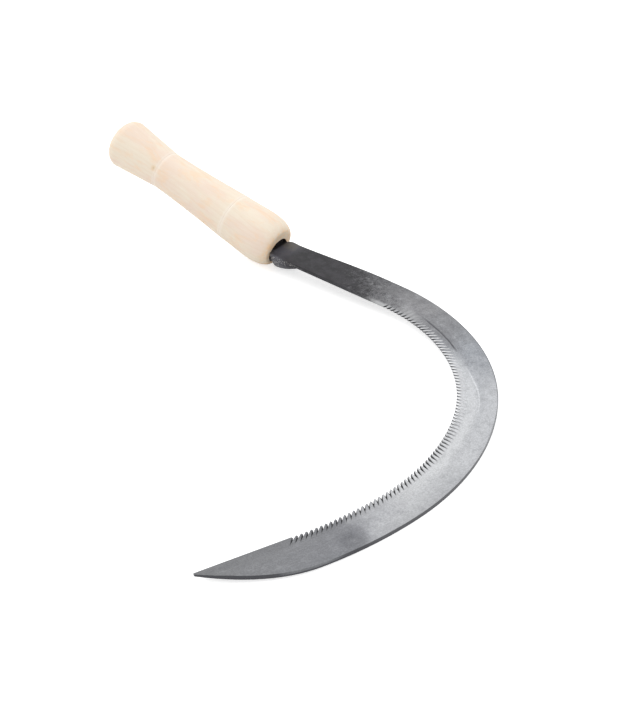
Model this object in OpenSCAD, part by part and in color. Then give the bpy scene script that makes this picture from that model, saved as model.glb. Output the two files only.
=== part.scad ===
// Serrated harvest sickle: one forged blade with its tang driven into a turned wooden handle.
// It lies as it rests on a table: on the underside of the handle's nose and on the blade's spine.
// X runs along the handle's line from the butt to the blade, Z is up, and the origin is the middle
// of the base. Sizes are millimetres and angles degrees.

/* [Blade edge] */
// Straight part of the cutting edge, from the handle's mouth to the first bend
shank_len = 85.5; // [72:0.5:100]
// Angle by which the straight edge leaves the handle's line
shank_splay = 3.3; // [0:0.1:6]
// Distance from the handle's line to the edge, at the mouth
edge_drop = 9.5; // [8.5:0.1:11]
// Radius of the first bend of the edge
bend_r = 110.5; // [95:0.5:125]
// Angle of the first bend
bend_sweep = 63; // [50:1:70]
// Radius of the second bend
belly_r = 146; // [120:1:170]
// Angle of the second bend
belly_sweep = 32.5; // [26:0.5:40]
// Radius of the last, almost straight bend
toe_r = 237; // [190:1:300]
// Angle of the last bend
toe_sweep = 13; // [8:0.5:18]
// Straight part of the edge that ends in the point
toe_len = 57; // [45:1:65]

/* [Blade width] */
// Thickness of the steel
blade_t = 2.4; // [2:0.1:3.2]
// Width at the handle's mouth
heel_w = 18.6; // [17:0.1:21]
// Greatest width of the shank
shank_w = 22.2; // [20:0.1:25]
// Distance of the shank's greatest width before the first bend
shank_w_back = 15.5; // [10:0.5:24]
// Smallest width, in the first bend
waist_w = 21.2; // [19:0.1:24]
// Distance of the smallest width after the start of the first bend
waist_on = 44.5; // [36:0.5:60]
// Greatest width, before the point
belly_w = 25.8; // [23:0.1:29]
// Length over which the blade narrows to its point
point_len = 57; // [45:1:70]
// Width that is left at the blunted point
point_w = 1.2; // [0.8:0.1:2.5]
// Radius of the heel's two corners beside the mouth
heel_r = 2; // [1:0.5:5]

/* [Ground edge] */
// Width of the ground band along the edge
grind_w = 11.5; // [9:0.5:15]
// Depth of the grinding at the edge
grind_d = 1.2; // [0.8:0.1:1.5]
// Length over which the grinding fades out into the shank
grind_fade = 34; // [20:1:50]

/* [Teeth] */
// Number of teeth
tooth_count = 90; // [70:1:90]
// Distance from one tooth to the next along the edge
tooth_pitch = 2.87; // [2.4:0.01:2.95]
// Distance of the first tooth after the start of the first bend
tooth_on = 3; // [0:0.5:6]
// Depth of a gullet at the underside
gullet_d = 1.5; // [1:0.1:2]
// Share of the pitch that a gullet takes at the edge
gullet_fill = 0.9; // [0.7:0.01:0.95]
// Share of a gullet that lies on the side of its steep flank
flank_split = 0.3; // [0.2:0.05:0.5]
// Reach of the first gullet across the blade
first_reach = 4.2; // [3.5:0.1:6]
// Reach of the last gullet across the blade
last_reach = 6.2; // [5.5:0.1:9]
// Lean of the first gullet towards the point
first_lean = 18; // [5:1:30]
// Lean of the last gullet towards the point
last_lean = 45; // [30:1:50]

/* [Root and tang] */
// Length of the thickened root, outside the handle
root_len = 34.5; // [28:0.5:40]
// Distance of the root's thickest place from the start of that length
root_at = 1; // [0.5:0.5:5]
// Height of the middle of the root's round underside above the blade's flat underside
root_rise = 0.1; // [0.05:0.05:0.6]
// Distance by which the root's round side stands out past the heel
root_out = 0.6; // [0.3:0.1:1.5]
// Height of the root's flat top above the middle of the blade
root_top = 1; // [0.6:0.1:1.1]
// Distance in front of the mouth at which the neck's hammered top starts to rise
neck_front = 7; // [4:0.5:12]
// Angle at which the neck's hammered top rises into the mouth
neck_slope = 7; // [3:0.5:12]
// Width of the tang where it leaves the root
tang_w = 9; // [7:0.5:11]
// Thickness of the tang where it leaves the root
tang_t = 6.5; // [5:0.5:8]
// Share of its width and thickness that the tang keeps at its end
tang_taper = 0.4; // [0.3:0.05:0.7]
// Length of the tang inside the handle, from the mouth
tang_len = 68; // [50:1:80]

/* [Handle] */
// Length of the handle
grip_len = 128.5; // [116:0.5:142]
// Angle by which the handle rises from the plane of the blade
grip_rise = 15; // [10:0.5:20]
// Radius of the flat end of the nose
nose_r = 10.6; // [10.2:0.1:12.5]
// Length of the rounded nose
nose_len = 13; // [8:0.5:16]
// Distance of the nose behind the point where the handle's line leaves the blade's plane
nose_back = 2.3; // [0:0.1:4]
// Greatest radius, behind the nose
swell_r = 15.8; // [14.5:0.1:17.5]
// Radius at the front scored line, where the bulb ends
mid_r = 14.9; // [13.5:0.1:16]
// Smallest radius of the grip, at the rear scored line
grip_r = 12.1; // [11:0.1:13.5]
// Radius of the flared butt
butt_r = 15.4; // [14:0.1:17]
// Length of the rounded end of the butt
butt_round = 7; // [4:0.5:9]
// Distance of the front scored line from the nose
front_line = 34.5; // [28:0.5:42]
// Distance of the rear scored line from the nose
rear_line = 90.5; // [84:0.5:98]
// Width of a scored line
line_w = 1.2; // [0.6:0.1:2]
// Depth of a scored line
line_d = 0.3; // [0.1:0.05:0.5]

/* [Fit] */
// Radius of the handle's mouth
mouth_r = 8; // [7.6:0.05:8.4]
// Distance of the middle of the mouth below the handle's line
mouth_drop = 2.2; // [1.6:0.1:2.4]
// Depth of the handle's mouth
mouth_depth = 7; // [5:0.5:10]
// Gap between the root and the handle's nose
shoulder_gap = 0.3; // [0.1:0.05:0.5]
// Gap round the neck in the mouth
neck_gap = 0.4; // [0.2:0.05:0.6]
// Gap round the tang in its burnt-in hole
tang_gap = 0.2; // [0.1:0.05:0.4]
// Direction in which the resting blade dips, from the handle's line
rest_bearing = 0.5; // [-30:0.5:20]

/* [Hidden] */
$fn = 96;
// Spacing of the points along the blade's outline
outline_step = 4;
// Number of points on each eased stretch of a profile
ease_steps = 12;
// Length by which a cutter runs past what it cuts
over = 1;
// Length and depth by which each stretch of the grinding laps over the one before
lap_len = 0.3;
lap_d = 0.01;

half_t = blade_t / 2;
// Radius of the root's round side at its thickest
root_r = heel_w / 2 + root_out;
// Radius of the neck that goes into the handle's mouth
neck_r = mouth_r - neck_gap;
bend_len = bend_r * bend_sweep * PI / 180;
belly_len = belly_r * belly_sweep * PI / 180;
toe_arc_len = toe_r * toe_sweep * PI / 180;
// Legs of the edge, each with its length and its radius, which is 0 for a straight one
edge_legs = [
    [shank_len, 0],
    [bend_len, bend_r],
    [belly_len, belly_r],
    [toe_arc_len, toe_r],
    [toe_len, 0]
];
edge_len = shank_len + bend_len + belly_len + toe_arc_len + toe_len;
// Place and heading of the edge at the mouth
edge_start = [-nose_back, -edge_drop, -shank_splay];

shank_w_at = shank_len - shank_w_back;
waist_at = shank_len + waist_on;
belly_at = edge_len - point_len;
point_at = edge_len - point_len * (1 - sqrt(1 - point_w / belly_w));

swell_at = nose_len;
butt_at = grip_len - butt_round;
// The handle's line, from the nose to the butt
grip_axis = [-cos(grip_rise), 0, sin(grip_rise)];

// Place and heading after going a distance along a leg, which turns clockwise
function step(at, d, r) =
    r == 0
    ? [at.x + d * cos(at.z), at.y + d * sin(at.z), at.z]
    : let (h = at.z - d / r * 180 / PI)
      [at.x + r * (sin(at.z) - sin(h)), at.y - r * (cos(at.z) - cos(h)), h];

// Place and heading of the edge at a distance from the mouth
function edge_at(s, leg = 0, at = edge_start) =
    s <= edge_legs[leg][0] || leg == len(edge_legs) - 1
    ? step(at, s, edge_legs[leg][1])
    : edge_at(s - edge_legs[leg][0], leg + 1, step(at, edge_legs[leg][0], edge_legs[leg][1]));

// Value that eases from a to b while t goes from 0 to 1
function ease(a, b, t) = a + (b - a) * (1 - cos(180 * min(max(t, 0), 1))) / 2;

// Width of the blade at a distance along the edge
function width_at(s) =
    s < shank_w_at ? ease(heel_w, shank_w, s / shank_w_at)
    : s < waist_at ? ease(shank_w, waist_w, (s - shank_w_at) / (waist_at - shank_w_at))
    : s < belly_at ? ease(waist_w, belly_w, (s - waist_at) / (belly_at - waist_at))
    : belly_w * (1 - pow((s - belly_at) / point_len, 2));

// Point of the blade at a distance along the edge and at another across it
function blade_point(s, across) =
    let (e = edge_at(s)) [e.x - across * sin(e.z), e.y + across * cos(e.z)];

// Points on a quarter circle that turns clockwise from a start angle
function corner(centre, r, start) =
    [for (i = [0 : 6]) centre + r * [cos(start - 15 * i), sin(start - 15 * i)]];

heel_low = blade_point(heel_r, 0) + [0, heel_r];
heel_high = blade_point(heel_r, width_at(heel_r)) - [0, heel_r];
outline_n = ceil((point_at - heel_r) / outline_step);
outline_s = [for (i = [1 : outline_n]) heel_r + (point_at - heel_r) * i / outline_n];
outline = concat(
    [for (i = [outline_n - 1 : -1 : 0]) blade_point(outline_s[i], 0)],
    [for (p = corner(heel_low, heel_r, 270)) p],
    [for (p = corner(heel_high, heel_r, 180)) p],
    [for (s = outline_s) blade_point(s, width_at(s))]
);

// Radius of the handle's nose, whose section is a quarter of an ellipse
function nose_radius(x) = nose_r + (swell_r - nose_r) * sqrt(1 - pow(1 - x / nose_len, 2));

// Radius of the handle's rounded butt
function butt_radius(x) = butt_r - butt_round * (1 - sqrt(1 - pow((x - butt_at) / butt_round, 2)));

// Radius of the handle at a distance behind the nose
function grip_radius(x) =
    x < swell_at ? nose_radius(x)
    : x < front_line ? ease(swell_r, mid_r, (x - swell_at) / (front_line - swell_at))
    : x < rear_line ? grip_r + (mid_r - grip_r) * pow(1 - (x - front_line) / (rear_line - front_line), 1.5)
    : x < butt_at ? grip_r + (butt_r - grip_r) * (x - rear_line) / (butt_at - rear_line)
    : butt_radius(x);

// Points of the handle's profile, each with its radius and its distance behind the nose
grip_profile = concat(
    [for (i = [0 : ease_steps]) let (x = nose_len * (1 - cos(90 * i / ease_steps))) [nose_radius(x), x]],
    [for (i = [1 : ease_steps]) let (x = swell_at + (front_line - swell_at) * i / ease_steps) [grip_radius(x), x]],
    [for (i = [1 : ease_steps]) let (x = front_line + (rear_line - front_line) * i / ease_steps) [grip_radius(x), x]],
    [[butt_r, butt_at]],
    [for (i = [1 : ease_steps]) let (x = butt_at + butt_round * sin(90 * i / ease_steps)) [butt_radius(x), x]]
);

// Farthest reach of the blade along a direction
function blade_reach(d) = max([for (p = outline) p.x * d.x + p.y * d.y + half_t * abs(d.z)]);

// Farthest reach of the handle along a direction
function grip_reach(d) =
    let (along = grip_axis * d, across = sqrt(max(0, 1 - along * along)))
    max([for (p = grip_profile) (p.y + nose_back) * along + p.x * across]);

function reach(d) = max(blade_reach(d), grip_reach(d));

// Direction in the plane of the blade about which the resting sickle is tipped
tip_axis = [-sin(rest_bearing), cos(rest_bearing), 0];

// Vector turned about the tipping axis
function tipped(v, a) = v * cos(a) + cross(tip_axis, v) * sin(a) + tip_axis * (tip_axis * v) * (1 - cos(a));

// Tip at which the blade and the handle both touch the table
function rest_tip(low, high, tries) =
    let (mid = (low + high) / 2, down = tipped([0, 0, -1], -mid))
    tries == 0 ? mid
    : grip_reach(down) > blade_reach(down) ? rest_tip(mid, high, tries - 1)
    : rest_tip(low, mid, tries - 1);

rest_angle = rest_tip(0, 15, 40);
base_x = tipped([1, 0, 0], -rest_angle);
base_y = tipped([0, 1, 0], -rest_angle);
base_z = tipped([0, 0, 1], -rest_angle);
base_middle = [(reach(base_x) - reach(-base_x)) / 2, (reach(base_y) - reach(-base_y)) / 2, -reach(-base_z)];

// Lays a piece that is drawn on the blade's plane down on the table
module at_rest() {
    translate(-base_middle) rotate(a = rest_angle, v = tip_axis) children();
}

// Turns a piece that is drawn along Z so that it runs from the mouth into the handle
module along_grip() {
    rotate([0, grip_rise, 0]) rotate([0, -90, 0]) translate([0, 0, nose_back]) children();
}

// Section of what one stretch of the grinding takes away, drawn across the edge. Each stretch is
// a hair deeper than the one before, so that they lap without a seam.
module grind_section(stretch) {
    more = stretch * lap_d;
    low = -over - more;
    far = grind_w + over + more;
    high = half_t + over + more;
    floor_z = half_t - grind_d - more;
    fall = grind_d / grind_w;
    polygon([[low, floor_z + low * fall], [far, floor_z + far * fall], [far, high], [low, high]]);
}

// Metal that the grinding takes away along a bend which starts at a distance along the edge
module bend_grind(s, r, sweep, stretch) {
    e = edge_at(s);
    translate([e.x + r * sin(e.z), e.y - r * cos(e.z), 0])
        rotate([0, 0, e.z + 90 - sweep])
            rotate_extrude(angle = sweep + lap_len / r * 180 / PI) translate([r, 0]) grind_section(stretch);
}

// Metal that the grinding takes away along the straight toe
module toe_grind(stretch) {
    e = edge_at(edge_len - toe_len);
    translate([e.x, e.y, 0]) rotate([0, 0, e.z]) rotate([90, 0, 90]) translate([0, 0, -lap_len])
        linear_extrude(toe_len + lap_len + over) grind_section(stretch);
}

// Wedge in which the grinding fades out along the straight shank
module fading_grind() {
    e = edge_at(shank_len);
    low = half_t - grind_d - over * grind_d / grind_w;
    high = half_t + over;
    wide = grind_w * (1 + over / grind_d);
    back = -grind_fade * (1 + over / grind_d + over / grind_w);
    translate([e.x, e.y, 0]) rotate([0, 0, e.z])
        polyhedron(
            points = [[0, -over, low], [0, -over, high], [0, wide, high], [back, -over, high]],
            faces = [[0, 1, 2], [0, 3, 1], [0, 2, 3], [1, 3, 2]]
        );
}

// One gullet, a sloping notch that opens the edge and runs out on the ground face
module gullet(i) {
    share = i / (tooth_count - 1);
    lean = first_lean + (last_lean - first_lean) * share;
    deep = gullet_d / cos(lean);
    far = (first_reach + (last_reach - first_reach) * share) / cos(lean);
    face_z = half_t - grind_d * (1 - far * cos(lean) / grind_w);
    slope = atan((face_z + half_t) / (far - deep));
    edge_h = blade_t - grind_d + deep * tan(slope);
    notch_w = gullet_fill * tooth_pitch * cos(lean);
    high = 2 * blade_t;
    spread = notch_w * high / (edge_h * cos(slope));
    e = edge_at(shank_len + tooth_on + i * tooth_pitch);
    translate([e.x, e.y, 0]) rotate([0, 0, e.z + 90 - lean]) translate([deep, 0, -half_t])
        rotate([0, -slope, 0]) translate([-deep - 2 * over, 0, 0]) rotate([90, 0, 90])
            linear_extrude(far + 3 * over)
                polygon([[0, 0], [flank_split * spread, high], [(flank_split - 1) * spread, high]]);
}

// All that the grinding takes away along the edge
module grinding() {
    union() {
        fading_grind();
        bend_grind(shank_len, bend_r, bend_sweep, 1);
        bend_grind(shank_len + bend_len, belly_r, belly_sweep, 2);
        bend_grind(shank_len + bend_len + belly_len, toe_r, toe_sweep, 3);
        toe_grind(4);
    }
}

// Flat blade with its ground edge and its teeth
module plate() {
    difference() {
        translate([0, 0, -half_t]) linear_extrude(blade_t) polygon(outline);
        grinding();
        for (i = [0 : tooth_count - 1]) gullet(i);
    }
}

// Thickened root, a round that tapers into the blade's underside, cut flat on top
module root() {
    steps = [for (i = [0 : ease_steps]) i / ease_steps];
    intersection() {
        translate([0, 0, root_rise - half_t]) rotate([0, 90, 0]) rotate_extrude()
            polygon(concat(
                [[0, -root_len], [neck_r, -root_len]],
                [for (t = steps) [ease(neck_r, root_r, t), -nose_back + (nose_back + root_at) * t]],
                [for (t = steps) if (t > 0) [ease(root_r, 0, t), root_at + (root_len - root_at) * t]]
            ));
        translate([-root_len, -2 * root_r, root_top - 4 * root_r])
            cube([3 * root_len, 4 * root_r, 4 * root_r]);
    }
}

// Space that the handle takes up behind its nose, with the gap that the root keeps to it
module nose_side() {
    along_grip() translate([0, 0, -shoulder_gap]) cylinder(h = grip_len, r = 2 * swell_r);
}

// Middle of the mouth, in which the neck sits too, seen along the grip
mouth_middle = [-mouth_drop, 0, 0];

// Round neck of the root in the handle's mouth, with its top hammered down to the shank
module neck() {
    difference() {
        along_grip() translate(mouth_middle) translate([0, 0, -neck_front])
            cylinder(h = neck_front + mouth_depth - neck_gap, r = neck_r);
        translate([neck_front, -2 * root_r, root_top]) rotate([0, neck_slope, 0])
            translate([-2 * root_len, 0, 0]) cube([4 * root_len, 4 * root_r, 4 * root_r]);
    }
}

// Tapered square tang, with a gap added all round
module tang(gap) {
    ends = [tang_w / 2, tang_t / 2];
    along_grip() intersection() {
        tang_side(ends.x, gap);
        rotate([0, 0, 90]) tang_side(ends.y, gap);
    }
}

// Slab that tapers in one direction along the tang
module tang_side(half, gap) {
    tip = half * tang_taper;
    rotate([90, 0, 0]) linear_extrude(4 * tang_w, center = true)
        polygon([
            [half + gap, 0],
            [tip + gap, tang_len + gap],
            [-tip - gap, tang_len + gap],
            [-half - gap, 0]
        ]);
}

module blade() {
    color([0.42, 0.42, 0.44]) at_rest() union() {
        difference() {
            union() {
                plate();
                root();
            }
            nose_side();
        }
        neck();
        tang(0);
    }
}

// Section of a scored line, drawn on the handle's profile
module scored_line(x) {
    r = grip_radius(x);
    polygon([[r - line_d, x], [r + line_d, x - line_w], [r + line_d, x + line_w]]);
}

module handle() {
    color([0.93, 0.85, 0.72]) at_rest() difference() {
        along_grip() rotate_extrude() difference() {
            polygon(concat([[0, 0]], grip_profile, [[0, grip_len]]));
            scored_line(front_line);
            scored_line(rear_line);
        }
        along_grip() translate(mouth_middle) translate([0, 0, -over]) cylinder(h = mouth_depth + over, r = mouth_r);
        tang(tang_gap);
    }
}

blade();
handle();
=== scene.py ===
"""Serrated harvest sickle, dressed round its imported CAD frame.

Both pieces keep their CAD solids: the forged blade and the turned handle get their finishes here.
Scene units are metres. The finishes count in millimetres in each piece's own frame: on the blade X
leads away from the handle and Z stands on the flat of the steel, and on the handle X leads back
from the nose.
"""

import math

import bpy
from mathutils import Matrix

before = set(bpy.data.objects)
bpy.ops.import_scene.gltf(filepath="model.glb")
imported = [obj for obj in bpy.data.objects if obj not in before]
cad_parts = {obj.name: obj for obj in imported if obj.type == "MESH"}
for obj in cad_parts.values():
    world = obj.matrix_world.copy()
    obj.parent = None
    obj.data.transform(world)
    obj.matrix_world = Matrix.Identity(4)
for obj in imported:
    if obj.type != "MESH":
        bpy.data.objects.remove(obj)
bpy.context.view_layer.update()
bpy.ops.object.select_all(action="DESELECT")

# ---------------------------------------------------------------------------------------------
# Blade: one strip of carbon steel, forged dark at the shank and ground bright along its toothed
# inner edge. Its round root and square tang are forged in one with it and driven into the handle.
# ---------------------------------------------------------------------------------------------

BLADE_TURN = (0.0248, -2.8344, -0.0006)  # degrees: from the table's frame to the blade's own
BLADE_SHIFT = (44.093, -124.708, -9.641)  # millimetres
MM_IN_METRE = 1000
# The edge leaves the mouth at this place in millimetres and with this heading in degrees. It has a
# straight shank, the bend, two stretches of the belly and a straight toe, each given by its length
# and its radius, which is 0 where it is straight
EDGE_START = (-2.3, -9.5, -3.3)
EDGE_LEGS = ((85.5, 0), (121.5, 110.5), (82.82, 146), (53.77, 237), (57, 0))
ROUNDING = 0.001  # millimetres by which the next stretch may begin too soon
GRIND_FALL = 0.104  # slope of the ground face, from the spine side down to the edge
TOOTH_PITCH = 2.87
FIRST_TOOTH, LAST_TOOTH = 88.5, 343.9  # millimetres along the edge
FIRST_LEAN, LAST_LEAN = 18, 45  # degrees by which the cuts slope towards the point
STROKE_LAG = 0.09  # share of a pitch from a gullet to the stroke that runs on from it
ARRIS_WIDTH = 1.1  # millimetres
TANG_WAY = (-0.966, 0, 0.259)  # direction in which the tang runs into the handle


def shade(red, green, blue):
    """A screen colour from 0 to 255, as the linear colour that a socket takes."""
    parts = [c / 255 for c in (red, green, blue)]
    return [c / 12.92 if c <= 0.04045 else ((c + 0.055) / 1.055) ** 2.4 for c in parts] + [1]


def add(tree, kind, inputs=(), **options):
    """Adds a node with its options, and links or sets the inputs that are given."""
    node = tree.nodes.new(kind)
    for name, value in options.items():
        setattr(node, name, value)
    for key, value in dict(inputs).items():
        if isinstance(value, bpy.types.NodeSocket):
            tree.links.new(value, node.inputs[key])
        else:
            node.inputs[key].default_value = value
    return node


def calc(tree, operation, *values):
    """The result of one sum on sockets or numbers."""
    return add(tree, "ShaderNodeMath", dict(enumerate(values)), operation=operation).outputs[0]


def times(tree, *shares):
    """The product of several shares."""
    product = shares[0]
    for share in shares[1:]:
        product = calc(tree, "MULTIPLY", product, share)
    return product


def vectors(tree, operation, *values):
    """The result of one sum on places or directions."""
    node = add(tree, "ShaderNodeVectorMath", dict(enumerate(values)), operation=operation)
    gives_number = operation in ("DOT_PRODUCT", "LENGTH", "DISTANCE")
    return node.outputs["Value" if gives_number else "Vector"]


def fade(tree, value, low, high, first=0.0, last=1.0):
    """Eases from one number to another while a value goes from low to high."""
    return add(
        tree,
        "ShaderNodeMapRange",
        {"Value": value, "From Min": low, "From Max": high, "To Min": first, "To Max": last},
        interpolation_type="SMOOTHSTEP",
    ).outputs[0]


def zone(tree, value, rise, fall, top=1.0):
    """A share that eases in over one stretch of a value and out over a later one."""
    return times(tree, fade(tree, value, *rise), fade(tree, value, fall[1], fall[0], 0.0, top))


def mixed(tree, share, under, over):
    """One colour laid over another by a share from 0 to 1."""
    return add(tree, "ShaderNodeMix", {0: share, 6: under, 7: over}, data_type="RGBA").outputs[2]


def grain(tree, place, scale, detail=4.0, rough=0.55, warp=0.0):
    """Cloudy noise from 0 to 1 on a place in millimetres."""
    return add(
        tree,
        "ShaderNodeTexNoise",
        {"Vector": place, "Scale": scale, "Detail": detail, "Roughness": rough, "Distortion": warp},
    ).outputs[0]


def swing(tree, noise, reach):
    """Noise from 0 to 1, turned into a wander to both sides of zero."""
    return calc(tree, "MULTIPLY", calc(tree, "SUBTRACT", noise, 0.5), reach)


def stretched(tree, place, scales):
    """A place squeezed or drawn out along its three directions."""
    return add(tree, "ShaderNodeMapping", {"Vector": place, "Scale": scales}).outputs[0]


def axis(tree, place, number):
    """One coordinate of a place: 0, 1 or 2."""
    return add(tree, "ShaderNodeSeparateXYZ", {0: place}).outputs[number]


def own_frame(tree, shift, turn):
    """Object coordinates in millimetres, brought into a piece's own frame."""
    coordinates = add(tree, "ShaderNodeTexCoord").outputs["Object"]
    return add(
        tree,
        "ShaderNodeMapping",
        {
            "Vector": coordinates,
            "Scale": (MM_IN_METRE,) * 3,
            "Rotation": [math.radians(a) for a in turn],
            "Location": shift,
        },
    ).outputs[0]


def along_edge(tree, place):
    """How far a place lies along the edge and across from it, and the edge's heading there."""
    flat = vectors(tree, "MULTIPLY", place, (1, 1, 0))
    x, y, heading = EDGE_START
    run = across = course = None
    passed = 0.0
    for length, radius in EDGE_LEGS:
        turn = math.radians(heading)
        if radius:
            centre = (x + radius * math.sin(turn), y - radius * math.cos(turn), 0)
            arm = vectors(tree, "SUBTRACT", flat, centre)
            away = calc(tree, "SUBTRACT", vectors(tree, "LENGTH", arm), radius)
            leftward = calc(tree, "MULTIPLY", axis(tree, arm, 0), -1.0)
            angle = calc(tree, "ARCTAN2", leftward, axis(tree, arm, 1))
            gone = calc(tree, "MULTIPLY", calc(tree, "SUBTRACT", turn, angle), radius)
            heading -= math.degrees(length / radius)
            end = math.radians(heading)
            x += radius * (math.sin(turn) - math.sin(end))
            y -= radius * (math.cos(turn) - math.cos(end))
        else:
            arm = vectors(tree, "SUBTRACT", flat, (x, y, 0))
            gone = vectors(tree, "DOT_PRODUCT", arm, (math.cos(turn), math.sin(turn), 0))
            away = vectors(tree, "DOT_PRODUCT", arm, (-math.sin(turn), math.cos(turn), 0))
            angle = turn
            x += length * math.cos(turn)
            y += length * math.sin(turn)
        if run is None:
            run, across, course = calc(tree, "MINIMUM", gone, length), away, turn
        else:
            here = calc(tree, "GREATER_THAN", run, passed - ROUNDING)
            across = add(tree, "ShaderNodeMix", {0: here, 2: across, 3: away}).outputs[0]
            course = add(tree, "ShaderNodeMix", {0: here, 2: course, 3: angle}).outputs[0]
            held = calc(tree, "MINIMUM", calc(tree, "MAXIMUM", gone, 0.0), length)
            run = calc(tree, "ADD", run, held)
        passed += length
    return run, across, course


steel = bpy.data.materials.new("forged_and_ground_steel")
steel.use_nodes = True
tree = steel.node_tree
skin = tree.nodes["Principled BSDF"]

place = own_frame(tree, BLADE_SHIFT, BLADE_TURN)
run, across, course = along_edge(tree, place)
height = axis(tree, place, 2)
strip = add(tree, "ShaderNodeCombineXYZ", {0: run, 1: across, 2: height}).outputs[0]
normals = add(tree, "ShaderNodeNewGeometry").outputs
facing = add(
    tree,
    "ShaderNodeMapping",
    {"Vector": normals["True Normal"], "Rotation": [math.radians(a) for a in BLADE_TURN]},
    vector_type="VECTOR",
).outputs[0]
upward = axis(tree, facing, 2)
on_top = fade(tree, upward, 0.0, 0.2)
cloud = grain(tree, strip, 0.22, 8.0, 0.70)
speckle = grain(tree, strip, 1.3, 3.0, 0.75)

# Bare steel along the blade: dull where the shank was heated, bright in the belly, grey at the toe,
# with a border that slants across the blade. The bright belly and the darker toe are partly painted
# reflection
HUES_LENGTH = 400.0  # millimetres of edge over which the hues are laid out
HUES = (
    (0.19, (100, 100, 102)),
    (0.26, (128, 128, 130)),
    (0.32, (124, 125, 128)),
    (0.38, (140, 143, 148)),
    (0.45, (159, 161, 165)),
    (0.70, (169, 170, 172)),
    (0.75, (159, 160, 163)),
    (0.80, (116, 117, 121)),
    (0.86, (116, 117, 120)),
    (0.98, (112, 113, 115)),
)
drift = swing(tree, grain(tree, strip, 0.07, 5.0, 0.6), 40.0)
slant = times(tree, fade(tree, across, 10.0, 24.0, 0.0, 11.0), fade(tree, run, 250.0, 300.0))
drift = calc(tree, "SUBTRACT", drift, slant)
along = calc(tree, "DIVIDE", calc(tree, "ADD", run, drift), HUES_LENGTH)
bare = add(tree, "ShaderNodeValToRGB", {0: along})
stops = bare.color_ramp.elements
for stop, (share, colour) in zip(stops, (HUES[0], HUES[-1])):
    stop.position, stop.color = share, shade(*colour)
for share, colour in HUES[1:-1]:
    stops.new(share).color = shade(*colour)
base = bare.outputs[0]

# Ground band beside the teeth: lighter in the belly, with a painted highlight along its wandering
# border in the bend, a duller strip outside it as the bend begins, and paler steel along the spine
# in the belly
wander = swing(tree, grain(tree, strip, 0.08), 1.6)
border = calc(tree, "ADD", fade(tree, run, 158.0, 200.0, 7.6, 12.4), wander)
past = calc(tree, "SUBTRACT", across, border)
band = times(tree, fade(tree, past, -3.5, 2.5, 0.38, 0.0), zone(tree, run, (138, 165), (250, 300)))
base = mixed(tree, times(tree, band, on_top), base, shade(206, 207, 208))
# Painted highlight: a thin bright line along the band's border in the bend
painted_glint = fade(tree, calc(tree, "ABSOLUTE", past), 0.1, 0.6, 0.34, 0.0)
painted_glint = times(tree, painted_glint, zone(tree, run, (160, 172), (198, 212)))
base = mixed(tree, times(tree, painted_glint, on_top), base, shade(220, 222, 224))
outer = calc(tree, "MAXIMUM", fade(tree, run, 188, 160), fade(tree, run, 200, 225))
outer = times(tree, fade(tree, across, 15.0, 26.0, 0.0, 0.24), outer)
base = mixed(tree, outer, base, shade(112, 114, 118))
pale = times(tree, zone(tree, run, (172, 190), (240, 262)), fade(tree, across, 11, 17, 0.0, 0.22))
base = mixed(tree, times(tree, pale, on_top), base, shade(206, 207, 209))

# Painted shade darkens the crease along the start of the band, and the steel between it and the
# teeth is darker
# Painted shade along the crease
crease_shade = calc(tree, "ABSOLUTE", calc(tree, "ADD", past, 0.6))
crease_shade = times(tree, fade(tree, crease_shade, 0.25, 0.75, 0.9, 0.0), on_top)
crease_shade = times(tree, crease_shade, zone(tree, run, (108, 120), (143, 151)))
base = mixed(tree, crease_shade, base, shade(58, 58, 62))
darker_strip = times(tree, fade(tree, across, 1.0, 8.5, 0.3, 1.0), fade(tree, across, 13.0, 8.0, 0.0, 0.32))
darker_strip = times(tree, darker_strip, zone(tree, run, (98, 120), (140, 168)))
base = mixed(tree, darker_strip, base, shade(100, 100, 103))

# The toe is darker along the edge, partly dull grinding and partly painted shade, and a smoky
# patch stands before it
SMOKE_MIDDLE = (323.5, 19.5, 0.0)  # along the edge, across the blade and up
# Partly painted shade: the edge of the toe darkened
toe = times(tree, fade(tree, run, 286, 320), fade(tree, across, 9.0, 4.0, 0.0, 0.34))
base = mixed(tree, toe, base, shade(96, 97, 99))
smoke = calc(tree, "ADD", vectors(tree, "DISTANCE", strip, SMOKE_MIDDLE), swing(tree, cloud, 12.0))
base = mixed(tree, fade(tree, smoke, 4.0, 9.0, 0.55, 0.0), base, shade(88, 89, 93))

# Cloudy heat marks, dark ones strongest near the shank and light ones from the bend on
heat = times(tree, fade(tree, run, 96, 190, 0.36, 0.16), fade(tree, run, 315, 345, 1.0, 0.45))
base = mixed(tree, times(tree, fade(tree, cloud, 0.50, 0.64), heat), base, shade(84, 85, 89))
heat = times(tree, heat, fade(tree, run, 112, 150, 0.45, 1.0))
base = mixed(tree, times(tree, fade(tree, cloud, 0.48, 0.34), heat), base, shade(186, 188, 191))

# Fine speckle of pits and bright flecks, and faint grinding lines along the edge
shine = fade(tree, speckle, 0.34, 0.66, 0.83, 1.17)
base = add(tree, "ShaderNodeVectorMath", {0: base, "Scale": shine}, operation="SCALE").outputs[0]
lines = grain(tree, stretched(tree, strip, (0.05, 4.0, 4.0)), 1.0, 3.0, 0.6)
base = mixed(tree, fade(tree, lines, 0.50, 0.75, 0.0, 0.12), base, shade(210, 211, 214))

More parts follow.
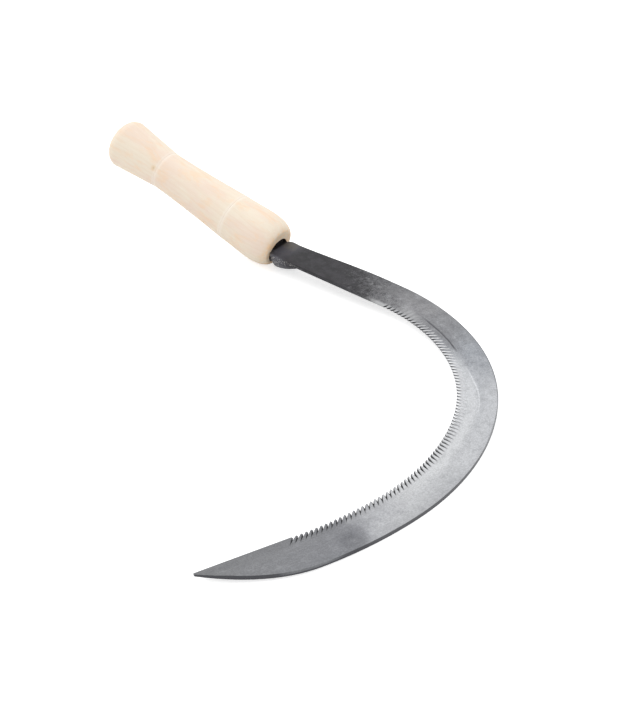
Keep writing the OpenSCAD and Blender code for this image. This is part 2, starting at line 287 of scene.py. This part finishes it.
# Forge scale covers the shank and breaks up into specks where the grinding starts, sooner towards
# the spine. It is bluish grey next to the mouth, lightened there as painted light against the
# shade by the nose
torn = swing(tree, grain(tree, strip, 0.30, 8.0, 0.80), 90.0)
torn = calc(tree, "ADD", torn, swing(tree, speckle, 60.0))
torn = calc(tree, "ADD", torn, fade(tree, across, 7.0, 15.0, 0.0, 9.0))
scale_on = fade(tree, calc(tree, "ADD", run, torn), 57.0, 93.0, 1.0, 0.0)
slate = mixed(tree, fade(tree, cloud, 0.38, 0.62), shade(24, 23, 27), shade(46, 44, 49))
# Painted light: the scale lightened next to the mouth
slate = mixed(tree, fade(tree, run, 16.0, 6.0, 0.0, 0.8), slate, shade(80, 80, 88))
slate = mixed(tree, fade(tree, speckle, 0.60, 0.76, 0.0, 0.40), slate, shade(110, 110, 112))
base = mixed(tree, scale_on, base, slate)

# The grinding starts with a bright streak on the edge, and a paler patch over the first teeth
start = times(tree, zone(tree, run, (74, 84), (90, 100)), fade(tree, across, 2.8, 0.6, 0.0, 0.65))
base = mixed(tree, start, base, shade(180, 181, 182))
patch = calc(tree, "ADD", across, calc(tree, "MULTIPLY", cloud, 6.0))
patch = times(tree, fade(tree, patch, 12.0, 7.0), zone(tree, run, (94, 104), (106, 116), 0.40))
base = mixed(tree, patch, base, shade(172, 173, 174))

# Bright scuffs on the root's round side, partly wear from driving it into the handle and partly
# painted highlight, and a dull stain by the mouth
# Partly painted highlight on the root's lower side
scuff_and_highlight = times(tree, fade(tree, run, 30.0, 18.0), fade(tree, across, 3.5, 1.0))
scuff_and_highlight = times(tree, scuff_and_highlight, fade(tree, height, 1.0, -0.4), fade(tree, speckle, 0.54, 0.63, 0.0, 0.8))
base = mixed(tree, scuff_and_highlight, base, shade(198, 196, 194))
stain = times(tree, fade(tree, run, 14.0, 4.0), fade(tree, across, 9.0, 13.0))
stain = times(tree, stain, fade(tree, cloud, 0.36, 0.56, 0.1, 0.5))
base = mixed(tree, stain, base, shade(98, 92, 76))

# File-cut teeth: painted highlights along the tops and painted shade in the valleys. From the
# belly on the flank that faces the point gets painted shade, and the one that faces the handle a
# painted highlight up to the toe
ahead = add(
    tree, "ShaderNodeCombineXYZ", {0: calc(tree, "COSINE", course), 1: calc(tree, "SINE", course)}
).outputs[0]
outward = vectors(tree, "CROSS_PRODUCT", (0, 0, 1), ahead)
to_point = vectors(tree, "DOT_PRODUCT", facing, ahead)
to_spine = vectors(tree, "DOT_PRODUCT", facing, outward)
cut = times(tree, fade(tree, across, 9, 8), fade(tree, run, 84, 87), fade(tree, upward, 0.02, 0.10))
depth = calc(tree, "SUBTRACT", calc(tree, "MULTIPLY", across, GRIND_FALL), height)
near_toe = fade(tree, run, 285, 320)

# Painted highlight near the tops and painted shade deeper in the cuts, on the flank facing the
# point
painted_top_highlight = mixed(tree, fade(tree, run, 92, 140), shade(196, 197, 199), shade(248, 248, 249))
painted_valley_shade = mixed(tree, fade(tree, run, 105, 150), shade(40, 40, 43), shade(80, 81, 83))
painted_valley_shade = mixed(tree, fade(tree, run, 160, 195), painted_valley_shade, shade(100, 101, 103))
steep_flank_paint = mixed(tree, fade(tree, depth, 0.30, 0.65), painted_top_highlight, painted_valley_shade)
steep_flank_paint = mixed(tree, fade(tree, run, 205, 250), steep_flank_paint, shade(40, 40, 43))
steep_flank_paint = mixed(tree, near_toe, steep_flank_paint, shade(112, 112, 115))
base = mixed(tree, times(tree, cut, fade(tree, to_point, 0.10, 0.30, 0.0, 0.93)), base, steep_flank_paint)

# Painted highlight on the flank facing the handle, with painted shade deep in the gullets
gentle_flank_paint = mixed(tree, fade(tree, run, 280, 320), shade(226, 227, 229), shade(142, 143, 146))
deep_gullet_shade = times(tree, fade(tree, depth, 0.15, 0.45), fade(tree, run, 215, 280))
gentle_flank_paint = mixed(
    tree, deep_gullet_shade, gentle_flank_paint, mixed(tree, near_toe, shade(58, 58, 61), shade(104, 104, 107))
)
base = mixed(tree, times(tree, cut, fade(tree, to_point, -0.10, -0.30, 0.0, 0.85)), base, gentle_flank_paint)

# Painted shade of the file cuts runs on a little past the gullets over the first teeth and in the
# belly, at their slope
per_run = math.radians(LAST_LEAN - FIRST_LEAN) / (LAST_TOOTH - FIRST_TOOTH)
lean = calc(tree, "MULTIPLY_ADD", run, per_run, math.radians(FIRST_LEAN) - per_run * FIRST_TOOTH)
shift = times(tree, across, fade(tree, across, 0.0, 10.0, 1.0, 0.92))
foot = calc(tree, "SUBTRACT", run, calc(tree, "MULTIPLY", shift, calc(tree, "TANGENT", lean)))
beat = calc(tree, "DIVIDE", calc(tree, "SUBTRACT", foot, FIRST_TOOTH), TOOTH_PITCH)
beat = calc(tree, "SUBTRACT", calc(tree, "FRACT", calc(tree, "ADD", beat, 0.5)), 0.5)
beside = calc(tree, "ABSOLUTE", calc(tree, "ADD", beat, STROKE_LAG))
# Painted shade: a dark stroke on from each gullet
stroke_shade = times(tree, fade(tree, beside, 0.08, 0.22, 1.0, 0.0), on_top)
stroke_shade = times(tree, stroke_shade, zone(tree, across, (1.2, 2.6), (4.8, 6.6)))
faint, firm = fade(tree, run, 156, 170, 0.0, 0.18), fade(tree, run, 172, 238, 0.0, 0.58)
in_belly = times(tree, calc(tree, "MAXIMUM", faint, firm), fade(tree, run, 315, 290))
in_bend = zone(tree, run, (84, 88), (108, 120), 0.3)
stroke_shade = times(tree, stroke_shade, calc(tree, "ADD", in_belly, in_bend))
base = mixed(tree, stroke_shade, base, shade(64, 64, 67))

# The narrow sides are dark, apart from the ground edge. At the toe the upper half of the spine's
# side is lighter
upright = zone(tree, upward, (-0.60, -0.35), (0.35, 0.60))
by_root = fade(tree, run, 80.0, 50.0, 0.0, 0.5)
side = times(tree, upright, fade(tree, run, 30.0, 60.0, 0.0, 0.85))
side = times(tree, side, calc(tree, "MAXIMUM", fade(tree, to_spine, 0.35, 0.55), by_root))
upper_toe_half = zone(tree, run, (328, 340), (358, 368), 0.75)
upper_toe_half = times(tree, upper_toe_half, fade(tree, height, -0.6, 0.2))
side = times(tree, side, calc(tree, "SUBTRACT", 1.0, upper_toe_half))
base = mixed(tree, side, base, shade(62, 62, 66))

# A thin dark line runs along the arris of the spine
rounded = add(tree, "ShaderNodeBevel", {"Radius": ARRIS_WIDTH / MM_IN_METRE}, samples=8).outputs[0]
turned = vectors(tree, "DOT_PRODUCT", rounded, normals["Normal"])
arris = times(tree, fade(tree, turned, 0.998, 0.94), fade(tree, across, 9.0, 12.0), on_top)
arris = times(tree, arris, zone(tree, run, (100, 140), (205, 240), 0.75))
base = mixed(tree, arris, base, shade(70, 71, 74))

# Painted shadow where the neck disappears into the mouth, least on the edge's side
sunk = vectors(tree, "DOT_PRODUCT", place, TANG_WAY)
mouth_shadow = times(tree, fade(tree, sunk, 0.3, 1.7, 0.0, 0.93), fade(tree, across, 0.5, 6.0, 0.45, 1.0))
base = mixed(tree, mouth_shadow, base, shade(16, 12, 11))

# Bare steel is a metal, and scale is a duller skin on it
tree.links.new(base, skin.inputs["Base Color"])
tree.links.new(fade(tree, scale_on, 0.0, 1.0, 1.0, 0.25), skin.inputs["Metallic"])
rough = calc(tree, "ADD", fade(tree, scale_on, 0.0, 1.0, 0.42, 0.52), swing(tree, speckle, 0.2))
tree.links.new(rough, skin.inputs["Roughness"])
skin.inputs["Specular IOR Level"].default_value = 0.35

# Relief in millimetres: hammer dents, pits and grinding lines
relief = calc(tree, "MULTIPLY", grain(tree, strip, 0.09, 3.0), 0.25)
relief = calc(tree, "ADD", relief, calc(tree, "MULTIPLY", speckle, 0.06))
relief = calc(tree, "ADD", relief, calc(tree, "MULTIPLY", lines, 0.02))
bump = add(tree, "ShaderNodeBump", {"Height": relief, "Strength": 0.5, "Distance": 1 / MM_IN_METRE})
tree.links.new(bump.outputs[0], skin.inputs["Normal"])

for face_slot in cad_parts["blade"].material_slots:
    face_slot.material = steel

# ---------------------------------------------------------------------------------------------
# Handle: a bare, pale hardwood turned on a lathe, sanded, with two fine scored lines. The mouth is
# bored for the blade's neck, and the tang was burnt into the wood behind it.
# ---------------------------------------------------------------------------------------------

HANDLE_TURN = (-0.0024, -17.8344, -179.9923)  # degrees: from the table's frame to the handle's
HANDLE_SHIFT = (-47.386, 124.707, 2.156)  # millimetres
SCORED_LINES = (34.5, 90.5)  # millimetres behind the nose
MOUTH_RADIUS = 8.0
MOUTH_DROP = 2.2  # millimetres from the handle's line down to the mouth's
# The marks round and inside the mouth that end there are partly painted shade
STAIN_AND_SHADE_END = (90.0, 100.0)  # stretch behind the nose in which the mouth's stains run out
KNOT = (92.7, 10.98, 5.61)  # place of its middle
PITH = (0, 14.0, 31.0)  # middle of the growth rings, outside the turned billet
RING_WIDTH = 2.9
TOOL_FEED = 1.4  # millimetres that the turning tool moved on with each turn
TOOL_RIDGE = 0.005  # height of the ridges that it left

wood = bpy.data.materials.new("turned_pale_wood")
wood.use_nodes = True
tree = wood.node_tree
skin = tree.nodes["Principled BSDF"]

place = own_frame(tree, HANDLE_SHIFT, HANDLE_TURN)
back = axis(tree, place, 0)


def from_line(tree, place, middle):
    """Distance from a line that runs along the handle through a middle."""
    arm = vectors(tree, "SUBTRACT", place, middle)
    return vectors(tree, "LENGTH", vectors(tree, "MULTIPLY", arm, (0, 1, 1)))


# Growth rings bent by slow noise, with broad pale and amber streaks and fine fibres along the wood
sway = add(
    tree,
    "ShaderNodeTexNoise",
    {"Vector": stretched(tree, place, (0.012, 0.05, 0.05)), "Scale": 1.0, "Detail": 2.0},
).outputs["Color"]
bent = vectors(tree, "MULTIPLY_ADD", sway, (0, 9, 9), place)
ring = calc(tree, "FRACT", calc(tree, "DIVIDE", from_line(tree, bent, PITH), RING_WIDTH))
late_wood = times(tree, fade(tree, ring, 0.35, 0.93), fade(tree, ring, 1.0, 0.95), 0.10)
fibre = grain(tree, stretched(tree, place, (0.06, 1.6, 1.6)), 1.0, 5.0, 0.65)
blush = grain(tree, stretched(tree, place, (0.04, 0.09, 0.09)), 1.0, 4.0)
amber = grain(tree, stretched(tree, place, (0.07, 0.16, 0.16)), 1.0, 5.0, 0.6, 0.4)
base = mixed(tree, fade(tree, blush, 0.38, 0.62), shade(243, 230, 211), shade(242, 223, 206))
base = mixed(tree, fade(tree, amber, 0.47, 0.66, 0.0, 0.60), base, shade(247, 216, 184))
base = mixed(tree, late_wood, base, shade(226, 196, 163))
base = mixed(tree, fade(tree, fibre, 0.52, 0.74, 0.0, 0.16), base, shade(226, 198, 166))
base = mixed(tree, fade(tree, fibre, 0.44, 0.26, 0.0, 0.30), base, shade(255, 247, 234))

# Short pores along the fibres
pore = fade(tree, grain(tree, stretched(tree, place, (0.22, 3.2, 3.2)), 1.0, 2.0, 0.5), 0.70, 0.80)
base = mixed(tree, times(tree, pore, 0.30), base, shade(206, 168, 130))

# One faint pin knot beside the rear line
off = vectors(tree, "DISTANCE", place, KNOT)
base = mixed(tree, fade(tree, off, 0.6, 2.6, 0.42, 0.0), base, shade(226, 190, 140))
base = mixed(tree, fade(tree, off, 0.2, 0.9, 0.28, 0.0), base, shade(178, 158, 120))

# The scored lines show a shade lighter, where the cut left clean wood
for line in SCORED_LINES:
    off = calc(tree, "ABSOLUTE", calc(tree, "SUBTRACT", back, line))
    base = mixed(tree, fade(tree, off, 0.3, 2.4, 0.40, 0.0), base, shade(254, 246, 236))

# Nose browned round the mouth, partly stain and partly painted shade, with a darker ring at the
# rim, amber flecks, and painted shadow over scorched wood inside it
front = fade(tree, back, STAIN_AND_SHADE_END[1], STAIN_AND_SHADE_END[0])
radius = from_line(tree, place, (0, 0, -MOUTH_DROP))
smudge = swing(tree, grain(tree, place, 0.45, 5.0), 7.0)
# Partly stain, partly painted shade: the nose browned round the mouth
soiled_and_shaded = calc(tree, "SUBTRACT", calc(tree, "ADD", radius, back), smudge)
base = mixed(tree, fade(tree, soiled_and_shaded, 11.0, 21.0, 0.36, 0.0), base, shade(226, 202, 166))
rim = calc(tree, "SUBTRACT", radius, calc(tree, "MULTIPLY", smudge, 0.25))
rim = times(tree, fade(tree, rim, MOUTH_RADIUS - 0.1, MOUTH_RADIUS + 0.6, 0.25, 0.0), front)
base = mixed(tree, rim, base, shade(160, 128, 92))
fleck = fade(tree, grain(tree, place, 0.42, 3.0), 0.46, 0.62)
fleck = times(tree, fleck, fade(tree, soiled_and_shaded, 12.0, 18.0, 0.60, 0.0))
base = mixed(tree, fleck, base, shade(245, 203, 152))
# Painted shadow over scorched wood inside the mouth
char_and_shadow = times(tree, fade(tree, radius, MOUTH_RADIUS + 0.15, MOUTH_RADIUS - 0.05), front)
char_and_shadow = times(tree, char_and_shadow, fade(tree, back, 0.0, 0.6))
base = mixed(tree, char_and_shadow, base, shade(46, 32, 24))

tree.links.new(base, skin.inputs["Base Color"])
tree.links.new(fade(tree, fibre, 0.3, 0.7, 0.52, 0.68), skin.inputs["Roughness"])
skin.inputs["Specular IOR Level"].default_value = 0.35

# Relief in millimetres: fibres, the marks of the turning tool and pores
tool_marks = calc(tree, "SINE", calc(tree, "MULTIPLY", back, 2 * math.pi / TOOL_FEED))
tool_marks = calc(tree, "MULTIPLY", tool_marks, TOOL_RIDGE)
relief = calc(tree, "ADD", calc(tree, "MULTIPLY", fibre, 0.06), tool_marks)
relief = calc(tree, "SUBTRACT", relief, calc(tree, "MULTIPLY", pore, 0.05))
bump = add(tree, "ShaderNodeBump", {"Height": relief, "Strength": 0.6, "Distance": 1 / MM_IN_METRE})
tree.links.new(bump.outputs[0], skin.inputs["Normal"])

for face_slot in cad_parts["handle"].material_slots:
    face_slot.material = wood

# ---------------------------------------------------------------------------------------------
# Floor: a wide, plain, pale studio table. What the camera and the steel see of it is lifted to
# white, while it keeps a soft shadow under the sickle.
# ---------------------------------------------------------------------------------------------

FLOOR_RADIUS = 6  # metres
FLOOR_GREY = 0.78
FLOOR_LIFT = 0.62  # glow that the camera and the steel see, and that lights nothing else


def seen_directly(tree):
    """1 for what the camera sees, also in a mirror or through glass, and 0 for other light."""
    paths = add(tree, "ShaderNodeLightPath").outputs
    mirrored = calc(tree, "MAXIMUM", paths["Is Glossy Ray"], paths["Is Transmission Ray"])
    return calc(tree, "MAXIMUM", paths["Is Camera Ray"], mirrored)


bpy.ops.mesh.primitive_circle_add(
    vertices=96, radius=FLOOR_RADIUS, fill_type="NGON", location=(0, 0, 0)
)
floor = bpy.context.object
floor.name = "studio_floor"
paper = bpy.data.materials.new("white_paper")
paper.use_nodes = True
tree = paper.node_tree
skin = tree.nodes["Principled BSDF"]
skin.inputs["Base Color"].default_value = (FLOOR_GREY, FLOOR_GREY, FLOOR_GREY, 1)
skin.inputs["Roughness"].default_value = 0.9
skin.inputs["Specular IOR Level"].default_value = 0.1
skin.inputs["Emission Color"].default_value = (1, 1, 1, 1)
lift = calc(tree, "MULTIPLY", seen_directly(tree), FLOOR_LIFT)
tree.links.new(lift, skin.inputs["Emission Strength"])
floor.data.materials.append(paper)

# ---------------------------------------------------------------------------------------------
# Light: one wide lamp high on the left and a little behind, and an even white room round it.
# ---------------------------------------------------------------------------------------------

ROOM_LIGHT = 0.90  # what falls on the sickle, while the room is seen at 1, which is white

bpy.ops.object.light_add(type="AREA", location=(-0.75, 0.35, 1.3))
lamp = bpy.context.object
lamp.name = "key_lamp"
lamp.data.shape = "SQUARE"
lamp.data.size = 2.4  # metres
lamp.data.energy = 11.0  # watts
lamp.rotation_euler = (-lamp.location).to_track_quat("-Z", "Y").to_euler()

room = bpy.data.worlds.new("white_room")
bpy.context.scene.world = room
room.use_nodes = True
tree = room.node_tree
air = tree.nodes["Background"]
air.inputs["Color"].default_value = (1, 1, 1, 1)
strength = fade(tree, seen_directly(tree), 0.0, 1.0, ROOM_LIGHT, 1.0)
tree.links.new(strength, air.inputs["Strength"])

# ---------------------------------------------------------------------------------------------
# Camera: a long lens from above the toothed side, rolled by half a degree, as in the photograph.
# ---------------------------------------------------------------------------------------------

bpy.ops.object.camera_add(
    location=(0.623436, -0.691049, 0.583424),
    rotation=[math.radians(a) for a in (58.1862, 1.7772, 37.0500)],
)
camera = bpy.context.object
camera.name = "photo_camera"
camera.data.lens = 98.89
camera.data.clip_start = 0.05
camera.data.clip_end = 50
bpy.context.scene.camera = camera
bpy.context.scene.view_settings.view_transform = "Standard"
